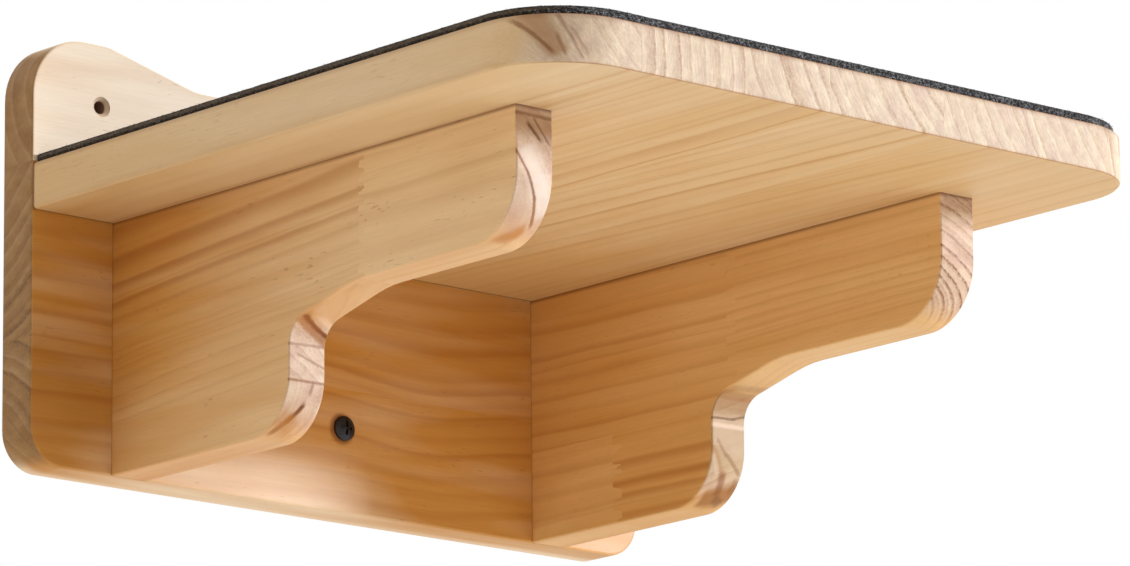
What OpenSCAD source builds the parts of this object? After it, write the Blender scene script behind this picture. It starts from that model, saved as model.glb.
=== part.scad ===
// Cat wall step: a pine shelf with a felt pad, carried by two scrolled brackets on an eared back board.
// Frame: X to the right, Y towards the wall, Z up. The rear face of the back board lies at Y = 0,
// the line of symmetry at X = 0 and the underside of the shelf at Z = 0.

/* [Shelf board] */
// Width of the shelf, along the wall
shelf_w = 300; // [220:5:420]
// Depth of the shelf, from the front of the back board
shelf_d = 293; // [250:1:360]
// Thickness of the shelf
shelf_t = 18; // [14:0.5:25]
// Radius of the two front corners of the shelf, in plan
shelf_corner_r = 34; // [10:1:50]

/* [Back board] */
// Thickness of the back board
board_t = 18; // [14:0.5:25]
// How far the back board stands past the shelf at each side
board_lip = 0.5; // [0:0.5:6]
// Height of the back board, from its foot to the top of its ears
board_h = 165.5; // [158:0.5:198]
// Radius of the two lower corners of the back board
board_corner_r = 15; // [4:1:25]
// Height of the two ears above the shelf
ear_h = 50.5; // [46:0.5:58]
// Height of the middle of the crest above the shelf
crest_h = 39.5; // [30:0.5:44]
// Width of an ear, from the end of the board to where its top turns down
ear_w = 36; // [33:0.5:50]
// Radius of the outer shoulder of an ear
ear_shoulder_r = 24; // [8:1:28]
// Slope of the line that falls from an ear to the middle of the crest, in degrees
crest_slope = 14.5; // [10:0.5:30]
// Radius of the bend at the top of that line
crest_bend_r = 18; // [5:1:30]
// Radius of the hollow at the foot of that line
crest_foot_r = 24; // [5:1:40]

/* [Brackets] */
// Thickness of a bracket
bracket_t = 17; // [14:0.5:25]
// Distance from the side edge of the shelf to the outer face of the bracket
bracket_inset = 37.5; // [10:0.5:60]
// Reach of the arm of a bracket, from the back board
bracket_reach = 233; // [205:0.5:250]
// Depth of the arm
arm_h = 47.5; // [40:0.5:52]
// Radius under the nose of the arm
nose_r = 24; // [5:1:35]
// Where the straight underside of the arm ends and the ramp begins, from the back board
ramp_start = 143; // [132:1:152]
// Slope of the ramp, in degrees
ramp_slope = 14; // [8:1:20]
// Radius of the soft knee between the underside of the arm and the ramp
knee_r = 60; // [10:5:90]
// Reach of the foot of a bracket, from the back board
foot_reach = 105.5; // [97:0.5:113]
// Radius of the hollow between the ramp and the foot
hollow_r = 11; // [4:0.5:14]
// Radius of the rounded toe at the bottom of the foot
toe_r = 22; // [5:1:26]

/* [Felt pad] */
// Thickness of the felt pad
pad_t = 3; // [2:0.1:8]
// How far the pad stays back from the edges of the shelf
pad_inset = 1.5; // [0.5:0.5:10]
// Radius of the two front corners of the pad
pad_corner_r = 34; // [10:1:50]
// Thickness of the adhesive film under the pad
film_t = 0.3; // [0.2:0.05:0.6]
// How far the film stays back from the edges of the pad
film_inset = 3; // [0:0.5:10]

/* [Wall fixing] */
// Diameter of the two fixing holes in the ears
ear_hole_d = 4.8; // [3.5:0.1:6]
// Diameter of the countersink of an ear hole, at the front
ear_sink_d = 8; // [7:0.1:10]
// Distance from the end of the board to an ear hole
ear_hole_inset = 32.5; // [29:0.5:40]
// Height of the ear holes above the shelf
ear_hole_h = 26.5; // [18:0.5:30]
// Diameter of the shank of the lower wall screw
wall_screw_d = 4.2; // [3.5:0.1:5]
// Diameter of the round head of the lower wall screw
wall_head_d = 9.6; // [8:0.1:12]
// Height of that head
wall_head_h = 2.2; // [1.8:0.1:3.5]
// Height of the lower wall screw above the lower edge of the board
wall_screw_rise = 33; // [20:0.5:45]
// How far the point of the lower wall screw stays inside the board
wall_tip_back = 0.8; // [0.5:0.1:4]

/* [Joining screws and dowels] */
// Diameter of the shank of a joining screw
screw_d = 4; // [3:0.1:5]
// Diameter of the countersunk head of a joining screw
screw_head_d = 8; // [6.5:0.1:10]
// Depth of a joining screw below the face that it is sunk in
screw_sink = 0.5; // [0.2:0.1:1.5]
// Length of the screws that come from the rear
rear_screw_length = 45; // [38:1:52]
// Length of the screws that come down through the shelf
top_screw_length = 40; // [34:1:50]
// Distance of the outer shelf screws from the middle
shelf_screw_x = 72; // [60:1:82]
// Depth of the upper bracket screws below the shelf
upper_screw_drop = 32; // [28:0.5:36]
// Height of the lower bracket screws above the lower edge of the bracket
lower_screw_rise = 21; // [12:0.5:30]
// Distance of the near top screws from the back board
near_screw_reach = 45; // [41:1:55]
// Distance of the far top screws from the back board
far_screw_reach = 185; // [160:1:195]
// Diameter of a dowel
dowel_d = 8; // [6:0.5:9]
// Length of a dowel
dowel_length = 30; // [26:1:34]
// Depth to which a dowel sits in the back board or the shelf
dowel_set = 11; // [8:0.5:12]
// Distance of the shelf dowels from the middle
shelf_dowel_x = 36; // [20:1:48]
// Distance of the bracket dowels from the back board
bracket_dowel_reach = 115; // [80:1:125]

/* [Hidden] */
$fn = 64;

// Overrun of a cut past the face that it opens
cut = 2;
// Room between the rear edge of the pad and the back board
pad_rear_gap = 0.5;
// Room round a screw in the wood
screw_gap = 0.1;
// Room round a dowel in its hole
dowel_gap = 0.1;
// Room past the point of a screw and past the ends of a dowel
end_room = 0.6;
// Straight rim of a countersunk head
head_rim = 0.5;
// Length of the point of a joining screw and of the wall screw, and radius of its blunt tip
point_length = 6;
wall_point_length = 4;
tip_r = 0.4;
// Straight rim of the round head of the wall screw
wall_head_rim = 0.9;
// Width and depth of the cross recess in a screw head, and its span as a share of the head
recess_w = 1.1;
recess_depth = 1;
recess_share = 0.56;
// Chamfer at the ends of a dowel
dowel_chamfer = 1;
// Straight stretch that stays between two rounded corners
least_flat = 0.5;
// Widest turn, in degrees, between two points of a bend
bend_step = 5;

board_w = shelf_w + 2 * board_lip;
board_front = -board_t;
board_drop = board_h - shelf_t - ear_h;
crest_z = shelf_t + crest_h;
ear_z = shelf_t + ear_h;
crest_run = (ear_z - crest_z) / tan(crest_slope);
ramp_drop = (ramp_start - foot_reach) * tan(ramp_slope);
hollow_touch = hollow_r * tan((90 - ramp_slope) / 2);
toe_room = board_drop - arm_h - ramp_drop - hollow_touch - least_flat;
bracket_x = shelf_w / 2 - bracket_inset - bracket_t / 2;
shelf_mid_z = shelf_t / 2;
upper_screw_z = -upper_screw_drop;
lower_screw_z = lower_screw_rise - board_drop;
wall_screw_z = wall_screw_rise - board_drop;
wall_screw_length = board_t - wall_tip_back;
ear_hole_x = board_w / 2 - ear_hole_inset;
ear_hole_z = shelf_t + ear_hole_h;
ear_sink_depth = (ear_sink_d - ear_hole_d) / 2;
film_w = shelf_w - 2 * (pad_inset + film_inset);

// Unit vector from one point towards another
function heading(from, to) = (to - from) / norm(to - from);

// A vector turned anticlockwise by an angle
function turned(v, angle) = [v.x * cos(angle) - v.y * sin(angle), v.x * sin(angle) + v.y * cos(angle)];

// Points of the arc that rounds a corner between two lines, at least one of them slanted
function bend(before, at, after, radius) =
  let (
    back_way = heading(at, before),
    on_way = heading(at, after),
    half_angle = acos(back_way * on_way) / 2,
    middle = at + heading([0, 0], back_way + on_way) * radius / sin(half_angle),
    spoke = at + back_way * radius / tan(half_angle) - middle,
    turn = sign(cross(at - before, after - at)) * (180 - 2 * half_angle),
    steps = ceil(abs(turn) / bend_step)
  )
  [for (i = [0 : steps]) middle + turned(spoke, turn * i / steps)];

// What is cut off a square corner to round it; inward holds the signs of the way into the outline
module corner_cut(at, inward, radius) {
  middle = at + inward * radius;
  outer = at - inward * cut;
  difference() {
    polygon([outer, [middle.x, outer.y], middle, [outer.x, middle.y]]);
    translate(middle) circle(radius);
  }
}

// Right half of the outline of the back board, seen from the room, from its foot up to the crest
function board_half() =
  let (
    half_w = board_w / 2,
    ear_end = [half_w - ear_w, ear_z],
    crest_end = [half_w - ear_w - crest_run, crest_z]
  )
  concat(
    [[half_w, -board_drop], [half_w, ear_z]],
    bend([half_w, ear_z], ear_end, crest_end, crest_bend_r),
    bend(ear_end, crest_end, [0, crest_z], crest_foot_r));

// Outline of the back board: ears at both ends and a low crest between them
module board_outline() {
  right = board_half();
  left = [for (i = [len(right) - 1 : -1 : 0]) [-right[i].x, right[i].y]];
  difference() {
    polygon(concat(right, left));
    for (side = [-1, 1]) {
      corner_cut([side * board_w / 2, -board_drop], [-side, 1], board_corner_r);
      corner_cut([side * board_w / 2, ear_z], [-side, -1], ear_shoulder_r);
    }
  }
}

// Outline of a bracket, seen from its side: X is the distance from the back board
module bracket_outline() {
  foot_top = [foot_reach, -arm_h - ramp_drop];
  ramp_top = [ramp_start, -arm_h];
  nose = [bracket_reach, -arm_h];
  toe = [foot_reach, -board_drop];
  difference() {
    polygon(concat(
      [[0, 0], [0, -board_drop], toe],
      bend(toe, foot_top, ramp_top, hollow_r),
      bend(foot_top, ramp_top, nose, knee_r),
      [nose, [bracket_reach, 0]]));
    corner_cut(toe, [-1, 1], min(toe_r, toe_room));
    corner_cut(nose, [-1, 1], nose_r);
  }
}

// Plan of the shelf, the pad and the film: square at the wall, rounded at the front
module tread_plan(width, depth, corner_r) {
  difference() {
    translate([-width / 2, -depth]) square([width, depth]);
    for (side = [-1, 1]) corner_cut([side * width / 2, -depth], [-side, 1], corner_r);
  }
}

// Places a screw or hole whose head faces the wall
module from_rear(x, z) {
  translate([x, 0, z]) rotate([-90, 0, 0]) children();
}

// Places a screw or hole whose head faces up in the top of the shelf
module from_top(x, reach) {
  translate([x, board_front - reach, shelf_t]) children();
}

// Places a screw or hole whose head faces the room
module from_front(x, z) {
  translate([x, board_front, z]) rotate([90, 0, 0]) children();
}

// Places a dowel or its hole between the back board and the shelf
module in_shelf_end(x) {
  translate([x, board_front + dowel_set - dowel_length / 2, shelf_mid_z]) rotate([90, 0, 0]) children();
}

// Places a dowel or its hole between the shelf and a bracket
module in_bracket_top(x) {
  translate([x, board_front - bracket_dowel_reach, dowel_set - dowel_length / 2]) children();
}

// Cross recess sunk from height zero
module cross_recess(head_d) {
  span = head_d * recess_share;
  for (turn = [0, 90])
    rotate(turn)
      translate([-span / 2, -recess_w / 2, -recess_depth])
        cube([span, recess_w, recess_depth + cut]);
}

// Half section of a countersunk screw, grown by a gap, with its head level with height zero
module screw_section(length, gap) {
  head_r = screw_head_d / 2 + gap;
  shank_r = screw_d / 2 + gap;
  polygon([[0, 0], [head_r, 0], [head_r, -head_rim], [shank_r, shank_r - head_r - head_rim],
    [shank_r, point_length - length], [tip_r + gap, -length], [0, -length]]);
}

// Countersunk screw, sunk below height zero
module joining_screw(length) {
  color("lightsteelblue")
    translate([0, 0, -screw_sink])
      difference() {
        rotate_extrude() screw_section(length, 0);
        cross_recess(screw_head_d);
      }
}

// Hole for a countersunk screw, open at height zero
module screw_hole(length) {
  translate([0, 0, -screw_sink]) {
    rotate_extrude() screw_section(length + end_room, screw_gap);
    cylinder(h = screw_sink + cut, r = screw_head_d / 2 + screw_gap);
  }
}

// Chamfered dowel along Z, centred
module dowel() {
  body_r = dowel_d / 2;
  half = dowel_length / 2;
  color("burlywood")
    rotate_extrude()
      polygon([[0, -half], [body_r - dowel_chamfer, -half], [body_r, dowel_chamfer - half],
        [body_r, half - dowel_chamfer], [body_r - dowel_chamfer, half], [0, half]]);
}

// Hole for a dowel, with room past both ends
module dowel_hole() {
  cylinder(h = dowel_length + 2 * end_room, d = dowel_d + 2 * dowel_gap, center = true);
}

// Holes that the back board shares with the shelf
module shelf_end_holes() {
  for (x = [-shelf_screw_x, 0, shelf_screw_x]) from_rear(x, shelf_mid_z) screw_hole(rear_screw_length);
  for (x = [-shelf_dowel_x, shelf_dowel_x]) in_shelf_end(x) dowel_hole();
}

// Holes that the back board shares with the bracket at x
module bracket_end_holes(x) {
  from_rear(x, upper_screw_z) screw_hole(rear_screw_length);
  from_rear(x, lower_screw_z) screw_hole(rear_screw_length);
}

// Holes that the shelf shares with the bracket at x
module bracket_top_holes(x) {
  from_top(x, near_screw_reach) screw_hole(top_screw_length);
  from_top(x, far_screw_reach) screw_hole(top_screw_length);
  in_bracket_top(x) dowel_hole();
}

// Fixing hole in an ear, countersunk from the front
module ear_hole() {
  hole_r = ear_hole_d / 2;
  sink_r = ear_sink_d / 2;
  translate([0, 0, -board_t - cut]) cylinder(h = board_t + 2 * cut, r = hole_r);
  rotate_extrude()
    polygon([[0, cut], [sink_r, cut], [sink_r, 0], [hole_r, -ear_sink_depth], [0, -ear_sink_depth]]);
}

// Eared board that lies flat on the wall
module back_board() {
  color("navajowhite")
    difference() {
      rotate([90, 0, 0]) linear_extrude(board_t) board_outline();
      shelf_end_holes();
      for (x = [-bracket_x, bracket_x]) bracket_end_holes(x);
      for (x = [-ear_hole_x, ear_hole_x]) from_front(x, ear_hole_z) ear_hole();
      from_front(0, wall_screw_z)
        translate([0, 0, -board_t - cut]) cylinder(h = board_t + 2 * cut, r = wall_screw_d / 2 + screw_gap);
    }
}

// Tread of the step
module shelf_board() {
  color("wheat")
    difference() {
      translate([0, board_front, 0]) linear_extrude(shelf_t) tread_plan(shelf_w, shelf_d, shelf_corner_r);
      shelf_end_holes();
      for (x = [-bracket_x, bracket_x]) bracket_top_holes(x);
    }
}

// Scrolled bracket, centred on x
module bracket(x) {
  color("tan")
    difference() {
      translate([x - bracket_t / 2, board_front, 0])
        rotate([90, 0, -90]) mirror([0, 0, 1]) linear_extrude(bracket_t) bracket_outline();
      bracket_end_holes(x);
      bracket_top_holes(x);
    }
}

// Felt pad glued on the tread
module felt_pad() {
  color("dimgray")
    translate([0, board_front - pad_rear_gap, shelf_t + film_t])
      linear_extrude(pad_t)
        tread_plan(shelf_w - 2 * pad_inset, shelf_d - pad_inset - pad_rear_gap, pad_corner_r);
}

// Adhesive film between the tread and the pad
module pad_adhesive() {
  color("lightgray")
    translate([0, board_front - pad_rear_gap - film_inset, shelf_t])
      linear_extrude(film_t)
        tread_plan(film_w, shelf_d - pad_inset - pad_rear_gap - 2 * film_inset, pad_corner_r - film_inset);
}

// Round-headed screw in the middle of the board, below the shelf
module wall_screw() {
  head_r = wall_head_d / 2;
  dome_h = wall_head_h - wall_head_rim;
  dome_r = (head_r * head_r + dome_h * dome_h) / (2 * dome_h);
  shank_r = wall_screw_d / 2;
  color("black")
    from_front(0, wall_screw_z)
      difference() {
        union() {
          cylinder(h = wall_head_rim, r = head_r);
          translate([0, 0, wall_head_rim])
            rotate_extrude()
              intersection() {
                translate([0, dome_h - dome_r]) circle(dome_r);
                square([head_r, dome_h]);
              }
          rotate_extrude()
            polygon([[0, wall_head_rim], [shank_r, wall_head_rim],
              [shank_r, wall_point_length - wall_screw_length],
              [tip_r, -wall_screw_length], [0, -wall_screw_length]]);
        }
        translate([0, 0, wall_head_h]) cross_recess(wall_head_d);
      }
}

// Screws that join the shelf and the brackets to the back board, and the shelf to the brackets
module shelf_screw(x) {
  from_rear(x, shelf_mid_z) joining_screw(rear_screw_length);
}

module bracket_rear_screw(x, z) {
  from_rear(x, z) joining_screw(rear_screw_length);
}

module bracket_top_screw(x, reach) {
  from_top(x, reach) joining_screw(top_screw_length);
}

// Dowels that keep the glued joints in line
module shelf_dowel(x) {
  in_shelf_end(x) dowel();
}

module bracket_dowel(x) {
  in_bracket_top(x) dowel();
}

back_board();
shelf_board();
bracket(-bracket_x);  // bracket_left
bracket(bracket_x);  // bracket_right
felt_pad();
pad_adhesive();
wall_screw();
shelf_screw(-shelf_screw_x);  // shelf_screw_left
shelf_screw(0);  // shelf_screw_middle
shelf_screw(shelf_screw_x);  // shelf_screw_right
bracket_rear_screw(-bracket_x, upper_screw_z);  // bracket_left_rear_screw_upper
bracket_rear_screw(-bracket_x, lower_screw_z);  // bracket_left_rear_screw_lower
bracket_rear_screw(bracket_x, upper_screw_z);  // bracket_right_rear_screw_upper
bracket_rear_screw(bracket_x, lower_screw_z);  // bracket_right_rear_screw_lower
bracket_top_screw(-bracket_x, near_screw_reach);  // bracket_left_top_screw_near
bracket_top_screw(-bracket_x, far_screw_reach);  // bracket_left_top_screw_far
bracket_top_screw(bracket_x, near_screw_reach);  // bracket_right_top_screw_near
bracket_top_screw(bracket_x, far_screw_reach);  // bracket_right_top_screw_far
shelf_dowel(-shelf_dowel_x);  // shelf_dowel_left
shelf_dowel(shelf_dowel_x);  // shelf_dowel_right
bracket_dowel(-bracket_x);  // bracket_left_dowel
bracket_dowel(bracket_x);  // bracket_right_dowel
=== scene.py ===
"""Looks for a wall-mounted cat step: solid pine boards, a needle-felt pad, screws, dowels and a plain studio.

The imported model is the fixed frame. Every wooden node keeps its mesh: its edges are eased and it gets a solid
pine material, whose year rings, glued strips and finger joints run right through the board. The felt pad is
modelled here, with its loose fibres, in place of its plain solid.
"""
import logging
import math
import random
from dataclasses import dataclass
from enum import Enum

import bpy
from mathutils import Matrix, Vector


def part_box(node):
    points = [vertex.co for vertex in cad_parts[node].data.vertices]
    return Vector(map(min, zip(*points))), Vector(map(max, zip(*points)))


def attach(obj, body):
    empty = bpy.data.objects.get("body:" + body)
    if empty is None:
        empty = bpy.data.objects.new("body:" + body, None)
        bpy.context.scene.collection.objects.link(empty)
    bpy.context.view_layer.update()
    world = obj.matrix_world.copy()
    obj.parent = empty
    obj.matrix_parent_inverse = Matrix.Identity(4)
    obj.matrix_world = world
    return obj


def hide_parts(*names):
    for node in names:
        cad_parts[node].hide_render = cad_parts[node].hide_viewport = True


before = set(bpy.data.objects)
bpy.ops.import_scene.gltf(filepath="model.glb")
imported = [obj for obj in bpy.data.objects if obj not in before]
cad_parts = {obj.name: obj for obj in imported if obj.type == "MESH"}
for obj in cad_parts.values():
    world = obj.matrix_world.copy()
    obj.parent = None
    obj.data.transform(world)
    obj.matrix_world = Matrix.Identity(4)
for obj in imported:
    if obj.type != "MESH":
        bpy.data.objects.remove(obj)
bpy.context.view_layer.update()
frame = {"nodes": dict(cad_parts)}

LOG = logging.getLogger("cat_wall_step")
MM = 0.001
BODY = "root"
IMAGE_WIDTH = 1130
BOARD_FRONT = -18.0
SHELF_UNDERSIDE = 0.0
EAR_HOLE = (118.0, 44.5)


class Axis(Enum):
    """An axis of the part: X to the right, Y towards the wall, Z up."""

    X = 0
    Y = 1
    Z = 2


class Blend(Enum):
    """How one colour is laid over another."""

    MIX = "MIX"
    MULTIPLY = "MULTIPLY"


class Moved(Enum):
    """Which way a board's own shift moves a pattern, so that no two boards show the same."""

    NOT = "not"
    ACROSS = "across"
    THROUGH = "through"


@dataclass(frozen=True)
class Shade:
    """A colour as the eye reads it, each channel from 0 to 255."""

    red: float
    green: float
    blue: float

    @staticmethod
    def _channel(level: float) -> float:
        """Returns one channel as light."""
        c = level / 255
        return c / 12.92 if c <= 0.04045 else ((c + 0.055) / 1.055) ** 2.4

    def linear(self) -> tuple[float, float, float, float]:
        """Returns the colour as Blender's shaders want it."""
        return self._channel(self.red), self._channel(self.green), self._channel(self.blue), 1.0


class Signal:
    """What one output of a node gives. Plain arithmetic on it adds Math nodes."""

    def __init__(self, desk: "Desk", socket: bpy.types.NodeSocket) -> None:
        """Keeps the output and the desk that its node is on."""
        self.desk, self.socket = desk, socket

    def __add__(self, other: object) -> "Signal":
        """Returns the sum."""
        return self.desk.math("ADD", self, other)

    def __sub__(self, other: object) -> "Signal":
        """Returns the difference."""
        return self.desk.math("SUBTRACT", self, other)

    def __rsub__(self, other: float) -> "Signal":
        """Returns a plain number less this."""
        return self.desk.math("SUBTRACT", other, self)

    def __mul__(self, other: object) -> "Signal":
        """Returns the product."""
        return self.desk.math("MULTIPLY", self, other)

    def __truediv__(self, other: object) -> "Signal":
        """Returns the quotient."""
        return self.desk.math("DIVIDE", self, other)

    def __pow__(self, power: float) -> "Signal":
        """Returns it raised to a power."""
        return self.desk.math("POWER", self, power)

    def __abs__(self) -> "Signal":
        """Returns it without its sign."""
        return self.desk.math("ABSOLUTE", self)

    def held(self) -> "Signal":
        """Holds it within 0 and 1, in the Math node that gives it."""
        self.socket.node.use_clamp = True
        return self

    def swing(self, reach: float) -> "Signal":
        """Spreads 0 to 1 over a reach to either side of nothing."""
        return self * (2 * reach) - reach

    def rise(self, low: float, high: float) -> "Signal":
        """Rises smoothly from 0 to 1 between two values."""
        feeds = {"Value": self, "From Min": low, "From Max": high}
        return self.desk.give("ShaderNodeMapRange", feeds, interpolation_type="SMOOTHSTEP")

    def fall(self, low: float, high: float) -> "Signal":
        """Falls smoothly from 1 to 0 between two values."""
        return 1.0 - self.rise(low, high)

    def split(self) -> list["Signal"]:
        """Parts a vector or colour.

        Returns:
            Its three numbers.
        """
        node = self.desk.add("ShaderNodeSeparateXYZ", {0: self})
        return [Signal(self.desk, socket) for socket in node.outputs]


class Desk:
    """Lays out the nodes of one material or world and joins their sockets."""

    def __init__(self, owner: bpy.types.ID) -> None:
        """Empties the node tree.

        Args:
            owner: the material or world that the tree belongs to.
        """
        self.owner = owner
        owner.use_nodes = True
        self.tree = owner.node_tree
        self.tree.nodes.clear()

    def add(self, kind: str, feeds: dict, **settings: object) -> bpy.types.Node:
        """Adds a node and feeds its inputs.

        Args:
            kind: the node's type.
            feeds: a signal, a shade or a plain value for each input, by its name or number.
            settings: attributes to set on the node.

        Returns:
            The new node.
        """
        node = self.tree.nodes.new(kind)
        for key, value in settings.items():
            setattr(node, key, value)
        for key, value in feeds.items():
            if isinstance(value, Signal):
                self.tree.links.new(value.socket, node.inputs[key])
            else:
                node.inputs[key].default_value = value.linear() if isinstance(value, Shade) else value
        return node

    def give(self, kind: str, feeds: dict, output: object = 0, **settings: object) -> Signal:
        """Adds a node as add does, and returns one of its outputs, by its name or number."""
        return Signal(self, self.add(kind, feeds, **settings).outputs[output])

    def math(self, what: str, *values: object) -> Signal:
        """Returns what an operation makes of its inputs, signals or numbers."""
        return self.give("ShaderNodeMath", dict(enumerate(values)), operation=what)

    def distance(self, first: Signal, second: Signal) -> Signal:
        """Returns the length of two steps at right angles."""
        return self.math("SQRT", first * first + second * second)

    def combine(self, x: object, y: object, z: object) -> Signal:
        """Joins three numbers into a vector."""
        return self.give("ShaderNodeCombineXYZ", {0: x, 1: y, 2: z})

    def where(self) -> Signal:
        """Returns the place on the object, in metres."""
        return self.give("ShaderNodeTexCoord", {}, "Object")

    def places(self) -> list[Signal]:
        """Returns the place on the object: x, y and z in mm."""
        return [part * (1 / MM) for part in self.where().split()]

    def normal(self) -> list[Signal]:
        """Returns the surface's direction, bump apart: x, y and z."""
        return self.give("ShaderNodeNewGeometry", {}, "Normal").split()

    def noise(self, vector: Signal, detail: float = 2.0, rough: float = 0.5, colour: bool = False,
              scale: float = 1.0) -> Signal:
        """Adds soft noise.

        Args:
            vector: the place that it is read at.
            detail: how many finer layers it has.
            rough: how strong those layers are.
            colour: whether three numbers come out in place of one.
            scale: how much finer the pattern is than its coordinates.

        Returns:
            The noise.
        """
        feeds = {"Vector": vector, "Scale": scale, "Detail": detail, "Roughness": rough}
        return self.give("ShaderNodeTexNoise", feeds, "Color" if colour else "Fac")

    def ramp(self, value: Signal, stops: list[tuple[float, tuple[float, ...]]], hold: str) -> Signal:
        """Adds a colour ramp.

        Args:
            value: the number that it is read at, from 0 to 1.
            stops: places and their three numbers, at least two.
            hold: how one runs into the next; CONSTANT holds each until the next place.

        Returns:
            The three numbers, as one signal.
        """
        node = self.add("ShaderNodeValToRGB", {0: value})
        bar = node.color_ramp
        bar.interpolation = hold
        while len(bar.elements) < len(stops):
            bar.elements.new(0.5)
        for element, (place, numbers) in zip(bar.elements, stops):
            element.position = place
            element.color = (*numbers, 1.0)
        return Signal(self, node.outputs[0])

    def curve(self, value: Signal, stops: tuple[tuple[float, float], ...], hold: str = "LINEAR") -> Signal:
        """Returns one number that runs through places and their heights, as ramp does."""
        return self.ramp(value, [(place, (height,) * 3) for place, height in stops], hold).split()[0]

    def mix(self, amount: object, under: object, over: object, how: Blend = Blend.MIX) -> Signal:
        """Lays one colour over another, by an amount from 0 to 1."""
        settings = {"data_type": "RGBA", "blend_type": how.value}
        return self.give("ShaderNodeMix", {0: amount, 6: under, 7: over}, 2, **settings)

    def dim(self, colour: Signal, level: Signal) -> Signal:
        """Returns a colour multiplied by one number."""
        return self.mix(1.0, colour, self.combine(level, level, level), Blend.MULTIPLY)

    def finish(self, colour: Signal, roughness: Signal, height: Signal | None = None, relief: float = 0.0,
               **settings: float) -> bpy.types.Material:
        """Closes the material with a Principled shader.

        Args:
            colour: the base colour.
            roughness: the roughness.
            height: the height that the bump is taken from.
            relief: the depth of the bump, in metres.
            settings: plain values for the shader's other sockets, with _ for a space in the name.

        Returns:
            The finished material.
        """
        feeds = {"Base Color": colour, "Roughness": roughness}
        feeds.update((key.replace("_", " "), value) for key, value in settings.items())
        if height is not None:
            feeds["Normal"] = self.give("ShaderNodeBump", {"Distance": relief, "Height": height})
        self.add("ShaderNodeOutputMaterial", {"Surface": self.give("ShaderNodeBsdfPrincipled", feeds)})
        return self.owner


@dataclass(frozen=True)
class Strip:
    """One strip of timber in a glued board, or one length of it up to a finger joint. Lengths are in mm.

    It starts at a place across the board. Its rings run round the heart, (across, through), a year every ring mm;
    tone is how ripe the wood is, contrast how strongly its years show, tilt how far they drift across per mm along,
    and joint the place along the board where its finger joint is. Its clear rings each have a radius from the
    heart, a strength and a width; shown and ended are how strong they are along the grain and across its end.
    """

    start: float
    heart: tuple[float, float]
    ring: float
    tone: float
    contrast: float
    tilt: float
    phase: float
    joint: float = 400.0
    clear: tuple[tuple[float, float, float], ...] = ()
    shown: float = 0.6
    ended: float = 1.0


@dataclass(frozen=True)
class Mark:
    """A dark or pale streak across the board's end; a few are painted shadow. Lengths in mm, places are (across,
    through).
    """

    start: tuple[float, float]
    end: tuple[float, float]
    width: float
    strength: float
    shade: Shade
    taper: float = 0.0

    @staticmethod
    def rows(*rows: tuple[float, ...]) -> tuple["Mark", ...]:
        """Reads marks from rows of numbers.

        Args:
            rows: each mark's start, end, width, strength and shade, and its taper if it has one.

        Returns:
            The marks, in order.
        """
        return tuple(Mark(row[0:2], row[2:4], row[4], row[5], Shade(*row[6:9]), *row[9:]) for row in rows)


@dataclass(frozen=True)
class Bend:
    """A stretch where the rings swerve across the board, fully at one place across it and not at another, in mm."""

    at: float
    reach: float
    lift: float
    full: float
    none: float


@dataclass(frozen=True)
class Seam:
    """A plane, in mm along an axis, where two pieces meet: grime in the joint, painted shade in the crease, within a
    reach.
    """

    axis: Axis
    at: float
    strength: float
    reach: float
    shade: Shade = Shade(124, 62, 8)


@dataclass(frozen=True)
class PaintedShade:
    """Painted shade: a soft brown patch round a place on the face, in mm: (along, across), radius, reach and
    strength.
    """

    place: tuple[float, float]
    radius: float
    reach: float
    strength: float


@dataclass(frozen=True)
class PaleOval:
    """A paler oval on the board's face, in mm: its middle along and across, its half axes, and the tone it keeps."""

    along: float
    length: float
    over: float
    height: float
    kept: float


@dataclass(frozen=True)
class Weave:
    """A noise in the wood: how fine it is along the grain and across it, per mm, and its finer layers."""

    along: float
    cross: float
    detail: float
    rough: float = 0.5
    moved: Moved = Moved.ACROSS


@dataclass(frozen=True)
class PineColours:
    """The colours of one board: its pale and dark wood along the grain, and the same across its ends."""

    early: Shade
    late: Shade
    fresh: Shade
    deep: Shade
    end_early: Shade
    end_glow: Shade
    end_late: Shade
    fleck: Shade = Shade(150, 102, 58)

    @staticmethod
    def rows(*rows: tuple[float, float, float]) -> "PineColours":
        """Reads the colours from rows of channels, in the order of the fields."""
        return PineColours(*(Shade(*row) for row in rows))


@dataclass(frozen=True)
class Spot:
    """The place that a board's nodes colour: in mm along, across and through it, and how its surface lies there."""

    desk: Desk
    xyz: list[Signal]
    normal: list[Signal]
    along: Signal
    across: Signal
    through: Signal
    level: Signal
    end: Signal
    front: Signal

    def weave(self, weave: Weave, shift: Signal, colour: bool = False) -> Signal:
        """Reads a noise here.

        Args:
            weave: the noise.
            shift: how far the board's own pattern is moved.
            colour: whether three numbers come out in place of one.

        Returns:
            The noise.
        """
        across, through = self.across * weave.cross, self.through * weave.cross
        if weave.moved is Moved.ACROSS:
            across = across + shift
        elif weave.moved is Moved.THROUGH:
            through = through + shift
        where = self.desk.combine(self.along * weave.along, across, through)
        return self.desk.noise(where, weave.detail, weave.rough, colour)

    def off(self, along: float, across: float) -> Signal:
        """Returns how far the place is from a line through the board."""
        return self.desk.distance(self.along - along, self.across - across)


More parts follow.
